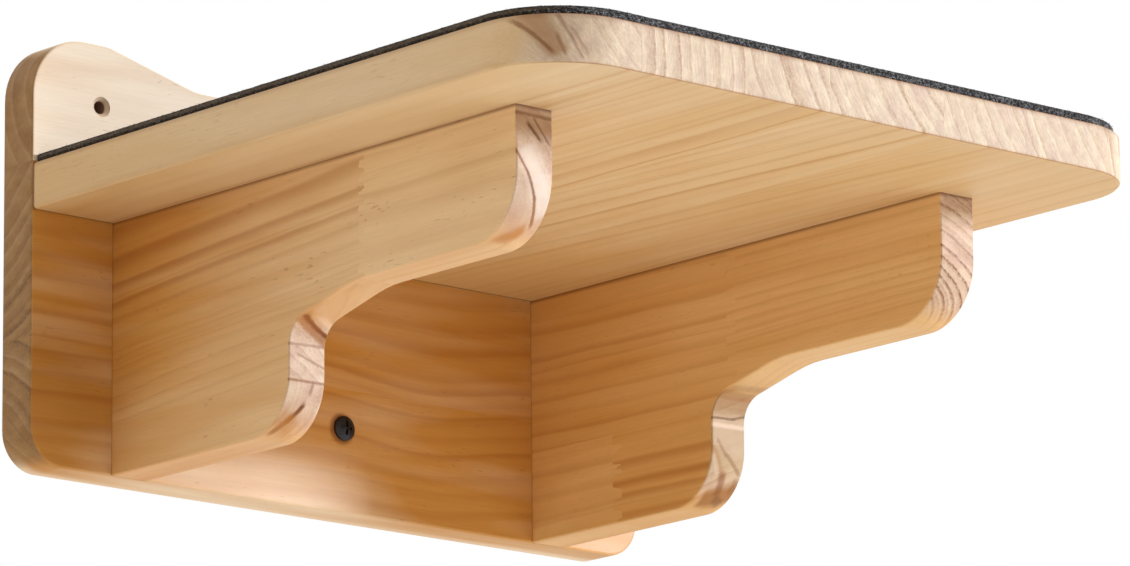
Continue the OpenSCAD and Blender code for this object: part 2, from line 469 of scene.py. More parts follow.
@dataclass(frozen=True)
class PineFinish:
    """Solid pine, clear matt lacquer: year rings round each strip's heart, fibres, resin flecks and end grain.

    low and high are the board's bounds across the grain. far_strips lie beyond the finger joint, whose fingers have
    a length and a pitch. The tone's growth towards the wall, from where it starts along the board to where it stops
    and by how much, is painted shade. The bores run through the board at (along, across). All lengths are in mm.
    """

    name: str
    grain: Axis
    across: Axis
    through: Axis
    low: float
    high: float
    colours: PineColours
    end_contrast: float
    flecks: float
    seed: float
    strips: tuple[Strip, ...]
    far_strips: tuple[Strip, ...] = ()
    bores: tuple[tuple[float, float], ...] = ()
    bore_radius: float = 0.0
    seams: tuple[Seam, ...] = ()
    fingers: tuple[float, float] = (5.0, 9.0)
    # A thin brown line on the eased edges; where it runs under the felt it is painted shade.
    edge_line: float = 0.0
    # Painted shade on faces that look down, by this strength.
    underside_shade: float = 0.0
    gritty: float = 0.5
    rear_tone: float | None = None
    # Painted shade: the tone grows towards the wall, from one place along the board to another, by an amount.
    wall_shade: tuple[float, float, float] = (0.0, 1.0, 0.0)
    # A paler oval on the face; on the back board it is partly painted light.
    pale_oval: PaleOval | None = None
    marks: tuple[Mark, ...] = ()
    bends: tuple[Bend, ...] = ()
    # Patches of painted shade.
    painted_shades: tuple[PaintedShade, ...] = ()

    HEART_REACH = 250.0
    RING_MOST = 16.0
    TILT_MOST = 0.2
    JOINT_REACH = 400.0
    WAVER = 2.2
    QUIVER = 0.5
    RELIEF = 0.07 * MM
    STRIP_SHIFT = 40.0
    SEED_SHIFT = 11.0
    CHANCE_STEP = 0.37
    YEAR_DRIFT = 1.1
    FRINGE = 3.0
    BORE_RIM = 0.35
    MARK_ENDS = (-1.0, 1.4)
    # Orange-brown: lacquer soaked into round corners, and the painted shade on faces that look down.
    RESIN_AND_SHADE = Shade(206, 128, 48)
    # Dark brown in the bores: darker drilled end grain and painted shade inside the hole.
    BORE_WALL_AND_SHADE = Shade(92, 52, 28)
    SINK = Shade(228, 200, 168)
    # Brown of the patches of painted shade.
    SHADE_BROWN = Shade(124, 62, 8)
    EDGE = Shade(158, 100, 48)
    PALE = Shade(252, 238, 212)
    # Soft steps: where each starts, and where it is full.
    END_FACE = (0.28, 0.78)
    END_MARK = (0.12, 0.4)
    TOP_FACE = (0.5, 0.9)
    FRONT_HALF = (-9.0, -2.0)
    FLECK_CELL = (0.70, 0.82)
    FLECK_GROUP = (0.48, 0.66)
    BROKEN = (0.28, 0.62)
    GLOW = (0.25, 0.75)
    SOAKED = (0.12, 0.60)
    MARK_EDGE = (0.35, 1.45)
    OVAL_EDGE = (0.35, 1.0)
    SINK_EDGE = (1.6, 1.7)
    EDGE_LEAN = (0.50, 0.75)
    EDGE_FLAT = (0.90, 0.99)
    EDGE_END = (0.20, 0.55)
    DOWN_FACE = (0.3, 0.9)
    # Through one year: how dark the wood is along the grain and on its end, and the pale line after the last year.
    BAND = ((0.0, 0.16), (0.10, 0.0), (0.42, 0.06), (0.70, 0.34), (0.88, 0.92), (0.94, 1.0), (1.0, 0.16))
    LINE = ((0.0, 0.25), (0.06, 0.0), (0.40, 0.06), (0.72, 0.38), (0.88, 0.86), (0.95, 1.0), (0.98, 0.7), (1.0, 0.25))
    FIRST = ((0.0, 0.0), (0.07, 1.0), (0.30, 0.35), (0.6, 0.0))
    SLOW = Weave(0.009, 0.035, 1.5, 0.45)
    QUICK = Weave(0.03, 0.40, 1.0)
    FIBRE = Weave(0.05, 1.7, 3.0, 0.6)
    HAIR = Weave(0.22, 6.5, 1.0, moved=Moved.THROUGH)
    CLOUD = Weave(0.012, 0.08, 1.0)
    CELL = Weave(0.26, 1.15, 0.0)
    GROUP = Weave(0.03, 0.09, 1.0, moved=Moved.THROUGH)
    PORE = Weave(0.6, 3.2, 2.0, 0.7, Moved.NOT)
    PATCH = Weave(0.05, 0.9, 2.0, 0.6)

    def _tables(self, place: Signal, strips: tuple[Strip, ...]) -> tuple[Signal, ...]:
        """Reads each strip's values at a place across the board.

        Args:
            place: the place across the board, from 0 to 1.
            strips: the strips, in order.

        Returns:
            Three signals: heart and ring; tone, contrast and tilt; phase, joint and chance.
        """
        def part(value: float, reach: float) -> float:
            """Fits a value within a reach to either side of nothing into 0 to 1."""
            return (value + reach) / (2 * reach)
        rows: tuple[list, list, list] = ([], [], [])
        for index, strip in enumerate(strips):
            at = max(0.0, (strip.start - self.low) / (self.high - self.low))
            hearts = [part(value, self.HEART_REACH) for value in strip.heart]
            rows[0].append((at, (*hearts, strip.ring / self.RING_MOST)))
            rows[1].append((at, (strip.tone, strip.contrast, part(strip.tilt, self.TILT_MOST))))
            rows[2].append((at, (strip.phase, part(strip.joint, self.JOINT_REACH), index * self.CHANCE_STEP % 1.0)))
        for row in rows:
            if len(row) == 1:
                row.append((1.0, row[0][1]))
        return tuple(place.desk.ramp(place, row, "CONSTANT") for row in rows)

    def _clear_rings(self, across: Signal, radius: Signal, strips: tuple[Strip, ...],
                     here: object) -> tuple[Signal, ...] | None:
        """Draws the rings that show clearly, each at its own radius.

        Args:
            across: the place across the board, in mm.
            radius: the distance from the heart, in mm.
            strips: the strips, in order.
            here: how far this row of strips counts at the place, from 0 to 1.

        Returns:
            How dark the rings are along the grain and across its end, from 0 to 1; nothing if no strip has any.
        """
        desk = across.desk
        total = None
        ends = [strip.start for strip in strips[1:]] + [self.high + 1.0]
        for strip, end in zip(strips, ends):
            if not strip.clear:
                continue
            rings = sorted(strip.clear)
            low, high = rings[0][0] - rings[0][2] - 1.0, rings[-1][0] + 2.0
            stops = [(0.0, 0.0)]
            for middle, strength, width in rings:
                for at, value in ((middle - width, 0.0), (middle, strength), (middle + 0.3 * width + 0.3, 0.0)):
                    at = (at - low) / (high - low)
                    if at > stops[-1][0] + 0.002:
                        stops.append((at, value))
            ring = desk.curve((radius - low) / (high - low), stops, "EASE")
            inside = desk.math("GREATER_THAN", across, strip.start) * desk.math("LESS_THAN", across, end)
            ring = ring * inside * here
            both = (ring * strip.shown, ring ** 1.5 * strip.ended)
            total = both if total is None else tuple(desk.math("MAXIMUM", *pair) for pair in zip(total, both))
        return total

    def _draw_mark(self, mark: Mark, spot: Spot, fray: Signal) -> Signal:
        """Finds how far a mark covers a place.

        Args:
            mark: the mark.
            spot: the place.
            fray: noise that frays the mark's edge, in mm.

        Returns:
            How far it covers the place, from 0 to 1.
        """
        du, dv = mark.end[0] - mark.start[0], mark.end[1] - mark.start[1]
        length = math.hypot(du, dv)
        du, dv = du / length, dv / length
        far_u, far_v = spot.across - mark.start[0], spot.through - mark.start[1]
        along = far_u * du + far_v * dv
        half = along * (-mark.taper * mark.width / (2 * length)) + mark.width / 2
        off = abs(far_u * -dv + far_v * du + fray) / half
        outside, inside = self.MARK_ENDS
        over = off.fall(*self.MARK_EDGE) * along.rise(outside, inside) * along.fall(length - inside, length - outside)
        return over * mark.strength

    def _overlay(self, spot: Spot, colour: Signal, fray: Signal) -> Signal:
        """Lays marks, seam grime and painted shade over the wood: patches, bores, eased edges, downward faces,
        creases.

        Args:
            spot: the place.
            colour: the wood's colour.
            fray: noise that frays the edges of marks, in mm.

        Returns:
            The colour with all of it.
        """
        desk = spot.desk
        endwise = spot.level.rise(*self.END_MARK)
        for mark in self.marks:
            colour = desk.mix(self._draw_mark(mark, spot, fray) * endwise, colour, mark.shade)
        # Painted shade: soft brown patches where shade falls on the face.
        for shade_patch in self.painted_shades:
            over = spot.off(*shade_patch.place).fall(shade_patch.radius, shade_patch.radius + shade_patch.reach)
            over = over * spot.front * (1.0 - spot.end)
            colour = desk.mix(over * shade_patch.strength, colour, self.SHADE_BROWN)
        # Each bore: a pale countersink, then the wall darkened, partly as darker drilled end grain and partly as
        # painted shade inside the hole.
        for bore in self.bores:
            off = spot.off(*bore)
            colour = desk.mix((off / self.bore_radius).fall(*self.SINK_EDGE), colour, self.SINK)
            colour = desk.mix(off.fall(self.bore_radius, self.bore_radius + self.BORE_RIM), colour, self.BORE_WALL_AND_SHADE)
        # A thin brown line on the eased edges at the board's ends; along the top edge under the felt it is painted
        # shade.
        if self.edge_line:
            lean = abs(spot.normal[self.through.value])
            line = lean.rise(*self.EDGE_LEAN) * lean.fall(*self.EDGE_FLAT) * spot.level.rise(*self.EDGE_END)
            colour = desk.mix(line * self.edge_line, colour, self.EDGE)
        # Painted shade: faces that look down are darkened.
        if self.underside_shade:
            downward = (spot.normal[self.across.value] * -1.0).rise(*self.DOWN_FACE)
            colour = desk.mix(downward * self.underside_shade, colour, self.RESIN_AND_SHADE)
        # Seams: grime in the joint and painted shade in the crease where two pieces meet.
        for seam in self.seams:
            joint_and_shade = abs(spot.xyz[seam.axis.value] - seam.at).fall(0.1, seam.reach)
            colour = desk.mix(joint_and_shade * seam.strength, colour, seam.shade)
        return colour

    def _spot(self, desk: Desk) -> Spot:
        """Reads where the place is and how its surface lies.

        Args:
            desk: the material in the making.

        Returns:
            The place.
        """
        xyz, normal = desk.places(), desk.normal()
        along, across, through = (xyz[axis.value] for axis in (self.grain, self.across, self.through))
        level = abs(normal[self.grain.value])
        return Spot(desk, xyz, normal, along, across, through, level, level.rise(*self.END_FACE),
                    through.fall(*self.FRONT_HALF))

    def _tone(self, spot: Spot, tone: Signal, cloud: Signal) -> Signal:
        """Finds how dark the wood is between its rings, with the painted shade towards the wall and the paler oval.

        Args:
            spot: the place.
            tone: the strip's own tone.
            cloud: a broad noise.

        Returns:
            The tone, from 0 for fresh wood to 1 for ripe wood, with painted light and shade in it.
        """
        # Painted shade: the tone grows towards the wall, where the corner is shaded.
        low, high, more = self.wall_shade
        tone = spot.along.rise(low, high) * more + tone
        # The paler oval; on the back board it is partly painted light, where the key falls low in the bay.
        if self.pale_oval:
            oval = self.pale_oval
            off = spot.desk.distance((spot.along - oval.along) / oval.length, (spot.across - oval.over) / oval.height)
            tone = tone * (off.rise(*self.OVAL_EDGE) * (1.0 - oval.kept) + oval.kept)
        if self.rear_tone is not None:
            tone = tone * spot.front + (1.0 - spot.front) * self.rear_tone
        return (cloud.swing(0.45) + tone).held()

    def build(self) -> bpy.types.Material:
        """Makes the material.

        Returns:
            The finished material.
        """
        desk = Desk(bpy.data.materials.new(self.name))
        spot = self._spot(desk)
        g, u, v = spot.along, spot.across, spot.through
        place = (u - self.low) / (self.high - self.low)
        near = self._tables(place, self.strips)
        hearts, looks, more = near
        beyond: object = 0.0
        if self.far_strips:
            finger, pitch = self.fingers
            fringe = desk.noise(desk.combine(0.0, u * 0.3, 0.0), 1.0)
            tooth = desk.math("PINGPONG", fringe * pitch + u, pitch / 2).rise(0.17 * pitch, 0.33 * pitch)
            comb = tooth * finger + near[2].split()[1].swing(self.JOINT_REACH)
            beyond = desk.math("LESS_THAN", g, fringe * self.FRINGE + comb)
            far = self._tables(place, self.far_strips)
            hearts, looks, more = (desk.mix(beyond, a, b) for a, b in zip(near, far))
        heart_u, heart_v, ring = hearts.split()
        tone, contrast, tilt = looks.split()
        phase, _, chance = more.split()
        shift = chance * self.STRIP_SHIFT + self.seed * self.SEED_SHIFT

        # A slow waver bends the rings along the board, as a real stem does, and a quick one makes them quiver.
        bend_u, bend_v, _ = spot.weave(self.SLOW, shift, colour=True).split()
        side = g * tilt.swing(self.TILT_MOST) + u - heart_u.swing(self.HEART_REACH) + bend_u.swing(self.WAVER)
        for bend in self.bends:
            swerve = abs(g - bend.at).fall(0.0, bend.reach) * u.rise(bend.none, bend.full)
            side = side - swerve * bend.lift
        deep = v - heart_v.swing(self.HEART_REACH) + bend_v.swing(self.WAVER)
        side = side + spot.weave(self.QUICK, shift).swing(self.QUIVER)
        radius = desk.distance(side, deep)
        years = radius / (ring * self.RING_MOST) + phase
        years = desk.noise(desk.combine(years * 0.8, shift, 0.0), 0.0) * self.YEAR_DRIFT + years
        year = desk.combine(desk.math("FLOOR", years), shift, 0.0)
        strength = desk.give("ShaderNodeTexWhiteNoise", {"Vector": year}, "Value", noise_dimensions="2D")
        strength = strength ** 1.3 * 1.05 + 0.25
        part = desk.math("FRACT", years)
        band, line, first = (desk.curve(part, stops) * strength for stops in (self.BAND, self.LINE, self.FIRST))

        # Fibres run far along the grain and are a few tenths of a millimetre wide.
        fibre, hair, cloud, cell, group, pore, patch = (
            spot.weave(weave, shift)
            for weave in (self.FIBRE, self.HAIR, self.CLOUD, self.CELL, self.GROUP, self.PORE, self.PATCH))
        tone = self._tone(spot, tone, cloud)
        amount = (band * (contrast * 1.25)).held()
        end_amount = (line * (self.end_contrast * 1.3)).held()
        for strips, here in ((self.strips, 1.0 - beyond), (self.far_strips, beyond)):
            drawn = self._clear_rings(u, radius, strips, here)
            if drawn:
                amount = desk.math("MAXIMUM", amount, drawn[0] * (fibre * 0.7 + 0.68)).held()
                end_amount = desk.math("MAXIMUM", end_amount, drawn[1])
        pale = desk.mix(tone, self.colours.fresh, self.colours.early)
        face = desk.mix(amount, pale, desk.mix(tone, self.colours.deep, self.colours.late))
        face = desk.dim(face, fibre * 0.22 + 0.89 + hair.swing(0.05))
        fleck = (cell.rise(*self.FLECK_CELL) * group.rise(*self.FLECK_GROUP) * self.flecks).held()
        face = desk.mix(fleck, face, self.colours.fleck)

        # End grain: the same rings, thin and hard, with pores and pale rays that run out from the heart.
        turn = desk.math("ARCTAN2", deep, side) * 90.0
        ray = desk.noise(desk.combine(turn, radius * 0.12, shift), 2.0, 0.6)
        rasp = desk.noise(desk.combine(radius * 1.9, turn * 0.30, shift), 2.0, 0.68)
        end_amount = (end_amount * (patch.rise(*self.BROKEN) * 0.65 + 0.35)).held()
        glow = desk.noise(desk.combine(0.0, u * 0.14 + shift, v * 0.10)).rise(*self.GLOW)
        end = desk.mix(glow, self.colours.end_early, self.colours.end_glow)
        end = desk.mix((first * (self.end_contrast * 0.3)).held(), end, self.PALE)
        end = desk.mix(end_amount, end, self.colours.end_late)
        end = desk.dim(end, pore * 0.20 + 0.90 + ray.swing(0.08) + rasp.swing(self.gritty / 2))
        colour = desk.mix(spot.end, face, end)

        # Lacquer sinks in where a round corner turns from end grain to long grain, and darkens the late wood.
        soaked = (spot.end * (1.0 - spot.end) * 3.2 * amount.rise(*self.SOAKED)).held()
        colour = desk.mix(soaked * 0.8, colour, self.RESIN_AND_SHADE)
        colour = self._overlay(spot, colour, rasp.swing(0.4))

        rough = fibre * 0.14 + 0.40 + amount * -0.06 + spot.end * 0.16
        rough = (rough + spot.normal[Axis.Z.value].rise(*self.TOP_FACE) * 0.34).held()
        height = fibre * 0.5 + amount * 0.5 + spot.end * pore * 1.2
        return desk.finish(colour, rough, height, self.RELIEF, Specular_IOR_Level=0.26, Coat_Weight=0.06,
                           Coat_Roughness=0.34)


@dataclass(frozen=True)
class EasedEdges:
    """The slight rounding that sanding leaves on the outer edges of a board."""

    width: float
    segments: int = 3
    turn: float = math.radians(38)
    hole_reach: float = 6.5 * MM
    seat_reach: float = 0.05 * MM
    weld: float = 0.004 * MM
    flat: float = math.radians(0.4)

    @staticmethod
    def _key(mesh: bpy.types.Mesh, index: int) -> tuple[float, ...]:
        """Returns a vertex's place, rounded so that vertices at one place are known as one."""
        return tuple(round(c, 6) for c in mesh.vertices[index].co)

    def mark(self, node: bpy.types.Object, holes: list[tuple[Axis, Vector]],
             seats: tuple[tuple[Axis, float], ...]) -> None:
        """Gives the outer edges a bevel weight, and leaves holes, flat seams and seats sharp.

        Args:
            node: the board.
            holes: each hole's axis and a point on it.
            seats: the planes, by axis and place in mm, on which the board meets another.
        """
        mesh = node.data
        normals: dict[frozenset, list[Vector]] = {}
        for face in mesh.polygons:
            for a, b in face.edge_keys:
                normals.setdefault(frozenset((self._key(mesh, a), self._key(mesh, b))), []).append(face.normal.copy())
        weight = mesh.attributes.get("bevel_weight_edge") or mesh.attributes.new("bevel_weight_edge", "FLOAT", "EDGE")
        values = [0.0] * len(mesh.edges)
        for edge in mesh.edges:
            a, b = (self._key(mesh, index) for index in edge.vertices)
            sides = normals.get(frozenset((a, b)), [])
            if len(sides) != 2 or sides[0].angle(sides[1], 0.0) < self.turn:
                continue
            middle = (Vector(a) + Vector(b)) / 2
            in_hole = any(self._off_axis(middle, axis, point) < self.hole_reach for axis, point in holes)
            on_seat = any(max(abs(end[axis.value] - at * MM) for end in (a, b)) < self.seat_reach
                          for axis, at in seats)
            values[edge.index] = 0.0 if in_hole or on_seat else 1.0
        weight.data.foreach_set("value", values)

    @staticmethod
    def _off_axis(place: Vector, axis: Axis, point: Vector) -> float:
        """Measures from a place to a line along an axis.

        Args:
            place: the place.
            axis: the axis.
            point: a point on the line.

        Returns:
            How far the place is from the line.
        """
        gap = place - point
        gap[axis.value] = 0.0
        return gap.length

    def ease(self, node: bpy.types.Object) -> None:
        """Adds the modifiers that round the marked edges.

        Args:
            node: the board, already marked.
        """
        for name, kind, settings in (
                ("weld", "WELD", {"merge_threshold": self.weld}),
                ("flatten", "DECIMATE", {"decimate_type": "DISSOLVE", "angle_limit": self.flat}),
                ("ease", "BEVEL", {"limit_method": "WEIGHT", "width": self.width, "segments": self.segments,
                                   "use_clamp_overlap": False, "miter_outer": "MITER_ARC",
                                   "harden_normals": True})):
            modifier = node.modifiers.new(name, kind)
            for key, value in settings.items():
                setattr(modifier, key, value)


@dataclass(frozen=True)
class Boards:
    """The four pine boards: their finishes, taken from where each ring and strip shows, and their eased edges."""

    nodes: dict[str, bpy.types.Object]

    # The brackets' seams under the shelf and against the back board: grime in the joints and painted shade in the
    # creases.
    BRACKET_SEAMS = (Seam(Axis.Z, SHELF_UNDERSIDE, 0.7, 1.7, Shade(118, 56, 0)), Seam(Axis.Y, BOARD_FRONT, 0.45, 0.9))
    BACK = PineFinish(
        "pine_back_board", Axis.X, Axis.Z, Axis.Y, -97, 68.5,
        PineColours.rows(
            (203, 144, 67), (160, 84, 18), (243, 220, 187), (222, 185, 140), (148, 107, 60), (166, 126, 76),
            (112, 76, 40)),
        end_contrast=0.22, flecks=0.3, seed=2, rear_tone=0.35,
        bores=(EAR_HOLE, (-EAR_HOLE[0], EAR_HOLE[1])), bore_radius=2.3,
        # The paler oval low on the board: partly sapwood, partly painted light where the key falls under the
        # brackets.
        pale_oval=PaleOval(-45, 95, -92, 30, 0.47),
        strips=(
            Strip(-97, (-111, 24), 5.5, 1, 0.14, -0.033, 0.1, shown=0.4, clear=(
                (74.6, 0.9, 2.4), (67.8, 0.45, 3), (62.5, 0.85, 2.2), (55.5, 0.6, 2.6), (51.6, 0.4, 2),
                (47.5, 0.55, 2.4), (44, 0.3, 2))),
            Strip(-48.6, (69.5, 50), 7, 0.92, 0.14, 0, 0.3, shown=0.42, clear=(
                (136.1, 0.7, 1.6), (132.4, 0.5, 2.4), (127.9, 0.9, 3), (123.8, 0.45, 3), (116.8, 0.8, 3.6),
                (110.5, 0.6, 3.2), (103.6, 0.45, 3), (97, 0.45, 2.6))),
            Strip(18.2, (52, -60), 7.5, 0, 0.16, 0.015, 0.2)),
        bends=(
            Bend(42, 62, -5.5, -46, -6), Bend(128, 88, 9, -10, -42)),
        # Painted shade: round the wall screw's head, with grime there too; by the shelf's left end; low on the wing
        # outside the left bracket.
        painted_shades=(
            PaintedShade((-0.9, -64.3), 4.7, 2.4, 0.75), PaintedShade((-156, 9), 10.5, 1.5, 0.6), PaintedShade((-142, -70), 12, 26, 0.28)))
    SHELF = PineFinish(
        "pine_shelf", Axis.Y, Axis.X, Axis.Z, -150, 150,
        PineColours.rows(
            (214, 172, 112), (180, 126, 60), (228, 200, 158), (204, 156, 98), (202, 175, 151), (218, 197, 165),
            (172, 136, 102)),
        # The line on the eased edges is painted shade where it runs under the felt.
        end_contrast=0.66, flecks=0.15, seed=5, edge_line=0.6, gritty=0.8,
        # Painted shade towards the wall.
        wall_shade=(-140, -18, 0.6),
        strips=(
            Strip(-150, (-60.4, 58), 8, 0.27, 0.26, 0.004, 0.2, shown=0.7, ended=0.4, clear=((79, 0.7, 2.2),)),
            Strip(-107, (-203, 2), 6.2, 0.45, 0.32, 0.01, 0.4, shown=0.7, clear=((98.6, 0.6, 2.6),)),
            Strip(-57.5, (64, 52), 7.5, 0.62, 0.34, -0.006, 0.1, shown=0.75, clear=(
                (132.9, 1, 1.2), (98.2, 1, 1.2), (117, 0.45, 3))),
            Strip(-16.5, (74.3, 66), 7.5, 0.52, 0.32, 0.07, 0.7, shown=0.66, clear=(
                (102.3, 0.65, 2.6), (93.3, 0.95, 2.6), (110.5, 0.5, 2.4), (119, 0.35, 3))),
            Strip(39, (135.2, 60), 6, 0.67, 0.3, 0.08, 0.3, shown=0.6, clear=(
                (134.2, 0.7, 1.6), (122.5, 0.4, 2.6), (114.5, 0.6, 2.4))),
            Strip(80, (198, 62), 6.5, 0.58, 0.3, 0.006, 0.5),
            Strip(125, (240, 40), 8, 0.7, 0.28, 0, 0)),
        # Seams: at the back board, grime in the joint and painted shade in the crease; below the felt, painted shadow
        # along the top of the sides and front.
        seams=(Seam(Axis.Y, BOARD_FRONT, 0.85, 1.3, Shade(84, 42, 12)), Seam(Axis.Z, 18.3, 0.4, 3)),
        marks=Mark.rows(
            (-144.5, 19, -137.5, 3, 7, 0.7, 170, 124, 82), (-148, 16.6, -139.2, 3.6, 1.2, 0.7, 128, 78, 32),
            (-138.4, 10.5, -135.8, 2.6, 1.1, 0.55, 140, 92, 58),
            (-138.2, 17.6, -130.6, 1.8, 1.2, 0.5, 146, 102, 74), (-134.6, 13.5, -128.6, 3.2, 1.2, 0.4, 152, 112, 88)))
    LEFT = PineFinish(
        "pine_bracket_left", Axis.Y, Axis.Z, Axis.X, -97, 0,
        PineColours.rows(
            (208, 148, 72), (164, 92, 26), (240, 205, 154), (200, 144, 82), (198, 166, 142), (216, 192, 164),
            (138, 82, 44), (166, 112, 62)),
        # Painted shade on the faces that look down.
        end_contrast=0.2, flecks=0.45, seed=8, underside_shade=0.3,
        fingers=(3, 5.5),
        # Painted shade towards the wall.
        wall_shade=(-175, -30, 0.84), pale_oval=PaleOval(-66, 86, -84, 38, 0.68),
        strips=(
            Strip(-97, (-84, -128), 5, 0.14, 0.16, 0.02, 0.2, -168, shown=0.2, clear=(
                (22.5, 0.3, 2.5), (16, 0.25, 2))),
            Strip(-77.5, (-121.9, -128.6), 4.6, 0.16, 0.17, 0.075, 0.25, -168, shown=0.6, clear=(
                (61.5, 0.3, 3.2), (67, 0.2, 2), (72, 0.25, 2), (78, 0.2, 2), (84, 0.4, 2.4), (90.1, 0.85, 3),
                (97.1, 0.95, 4), (106.9, 0.9, 7), (118.6, 0.7, 7)))),
        far_strips=(
            Strip(-97, (-84, -128), 5, 0, 0.16, 0.02, 0.2),
            Strip(-77.5, (-38, -128), 6, 0.05, 0.12, -0.004, 0.8, shown=0.3, ended=0.1, clear=(
                (26.6, 1, 2.6), (20.5, 0.5, 6), (15, 0.4, 1.6), (41, 0.15, 3)))),
        seams=BRACKET_SEAMS,
        marks=Mark.rows(
            (-55.6, -112, -62.6, -95, 2.4, 0.75, 150, 92, 34, -0.8), (-54.6, -111.5, -61, -94, 1.5, 1, 112, 56, 6),
            (-53.2, -110, -57.5, -94, 1.6, 0.55, 250, 222, 190), (-64.6, -113.5, -64, -94.5, 1.2, 0.5, 140, 92, 58),
            (-67.8, -109.2, -72.4, -94.5, 1.1, 0.5, 140, 90, 54),
            (-77.9, -113.5, -77.7, -94.5, 1.1, 0.75, 140, 92, 52),
            (-77.6, -101, -82.6, -101.9, 1.6, 0.62, 128, 78, 44), (-85.6, -103, -92.5, -107.5, 2, 1, 92, 44, 2),
            (-89.5, -106, -96.5, -110.5, 2.6, 0.8, 132, 70, 6), (-90.5, -112, -94, -102, 6, 0.5, 168, 112, 36),
            # The broad brown band at -5 and the thin line at -3, across the top of the nose, are partly brown wood
            # and partly the shelf's painted shadow.
            (-5, -114, -5.4, -94, 9.5, 0.46, 164, 116, 58), (-6, -107.5, -12.2, -101, 1.5, 0.8, 96, 52, 14),
            (-4, -104.5, -13, -97, 1.2, 0.6, 110, 64, 22), (-3, -114, -3.4, -94, 1.4, 0.5, 104, 58, 10),
            (-42, -101, -48.5, -110, 4.4, 0.75, 180, 112, 14), (-31, -110.5, -43, -103.5, 9.5, 0.34, 208, 180, 156),
            (-14.5, -108, -38, -96, 9, 0.48, 236, 224, 210), (-16, -113.2, -24.6, -107, 1.2, 0.8, 138, 84, 40),
            (-23.6, -107.6, -33.4, -102.4, 1.3, 0.85, 132, 80, 40),
            (-32.2, -103, -42, -99.2, 1.4, 0.85, 136, 82, 30)))
    RIGHT = PineFinish(
        "pine_bracket_right", Axis.Y, Axis.Z, Axis.X, -97, 0,
        PineColours.rows(
            (212, 156, 78), (172, 100, 30), (234, 194, 136), (200, 142, 76), (200, 166, 138), (216, 190, 162),
            (128, 78, 44)),
        # Painted shade on the faces that look down.
        end_contrast=0.3, flecks=0.2, seed=13, underside_shade=0.08,
        # Painted shade towards the wall.
        wall_shade=(-200, -30, 0.5),
        strips=(
            Strip(-97, (-10, 40), 5.2, 0.13, 0.18, -0.012, 0.5, -72.6, shown=0.6, clear=(
                (81.7, 0.55, 2.6), (88.6, 0.35, 3), (95.7, 0.45, 2.6))),
            Strip(-62, (70, 40), 5.6, 0.24, 0.2, -0.012, 0.15, -139, shown=0.6, clear=(
                (101.1, 0.5, 2.8), (110, 0.7, 2.4), (117.9, 0.45, 3), (124.5, 0.5, 2.4), (130.4, 0.3, 2.6),
                (136.3, 0.65, 2.6)))),
        far_strips=(
            Strip(-97, (-140, 130), 5, 0.32, 0.12, 0, 0.35, shown=0.65, ended=0.12, clear=(
                (75.5, 0.8, 4), (68, 1, 6), (63.5, 0.75, 3), (57, 0.6, 3))),
            Strip(-62, (-62.6, 82.7), 4, 0.22, 0.12, 0.015, 0.15, shown=0.3, clear=(
                (62, 0.7, 1.6), (57, 0.8, 2.2), (47, 0.75, 2.6), (41.3, 1, 1.7), (37.3, 1, 1.6), (33.6, 1, 1.6),
                (30.6, 0.95, 1.5), (27.2, 0.95, 1.5), (23.5, 0.8, 1.5)))),
        seams=BRACKET_SEAMS,
        marks=Mark.rows(
            (-74, 92, -74, 116, 28, 0.85, 180, 152, 112), (-58, 93, -58, 115, 10, 0.65, 150, 108, 58),
            (-64.4, 94, -63.8, 107.5, 1.1, 0.68, 96, 58, 8), (-63.9, 106, -61.6, 114, 1.1, 0.6, 96, 58, 8),
            (-67, 94, -66.6, 114, 2, 0.45, 240, 216, 192), (-72, 98, -79, 103, 1.6, 0.5, 140, 92, 42),
            (-77.5, 102.5, -85, 111.4, 1.8, 0.5, 124, 80, 34), (-75, 95, -87, 103, 3.4, 0.45, 168, 116, 56),
            (-78, 96, -86, 100.5, 2.2, 0.35, 230, 208, 186), (-54.4, 94, -53.8, 114, 1.3, 0.65, 116, 68, 28),
            (-57, 94, -56.6, 114, 1.2, 0.35, 160, 104, 60), (-94.8, 99, -90.2, 114, 7, 0.82, 146, 88, 0),
            (-84.5, 102.8, -92.5, 104.6, 3.4, 0.62, 120, 64, 0), (-93.2, 104.5, -94.8, 110, 2.6, 0.5, 92, 50, 0),
            (-86, 110.6, -91.5, 110, 2.8, 0.45, 116, 70, 0)))

    def _holes(self) -> list[tuple[Axis, Vector]]:
        """Finds the holes from the screws and dowels that fill them.

        Returns:
            Each hole's axis and a point on it.
        """
        holes: list[tuple[Axis, Vector]] = []
        for name in self.nodes:
            if "screw" not in name and "dowel" not in name:
                continue
            low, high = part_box(name)
            upright = "top_screw" in name or name.startswith("bracket") and "dowel" in name
            holes.append((Axis.Z if upright else Axis.Y, (low + high) / 2))
        for side in (-1, 1):
            holes.append((Axis.Y, Vector((side * EAR_HOLE[0], 0.0, EAR_HOLE[1])) * MM))
        return holes

    def dress(self) -> None:
        """Gives each board its finish and eases its edges."""
        holes = self._holes()
        rear, roof = (Axis.Y, BOARD_FRONT), (Axis.Z, SHELF_UNDERSIDE)
        for name, finish, width, seats in (("back_board", self.BACK, 1.0, ()),
                                           ("shelf_board", self.SHELF, 1.2, (rear,)),
                                           ("bracket_left", self.LEFT, 0.8, (rear, roof)),
                                           ("bracket_right", self.RIGHT, 0.8, (rear, roof))):
            node, edges = self.nodes[name], EasedEdges(width * MM)
            node.material_slots[0].material = finish.build()
            edges.mark(node, holes, seats)
            edges.ease(node)
            LOG.info("%s dressed in %s", name, finish.name)


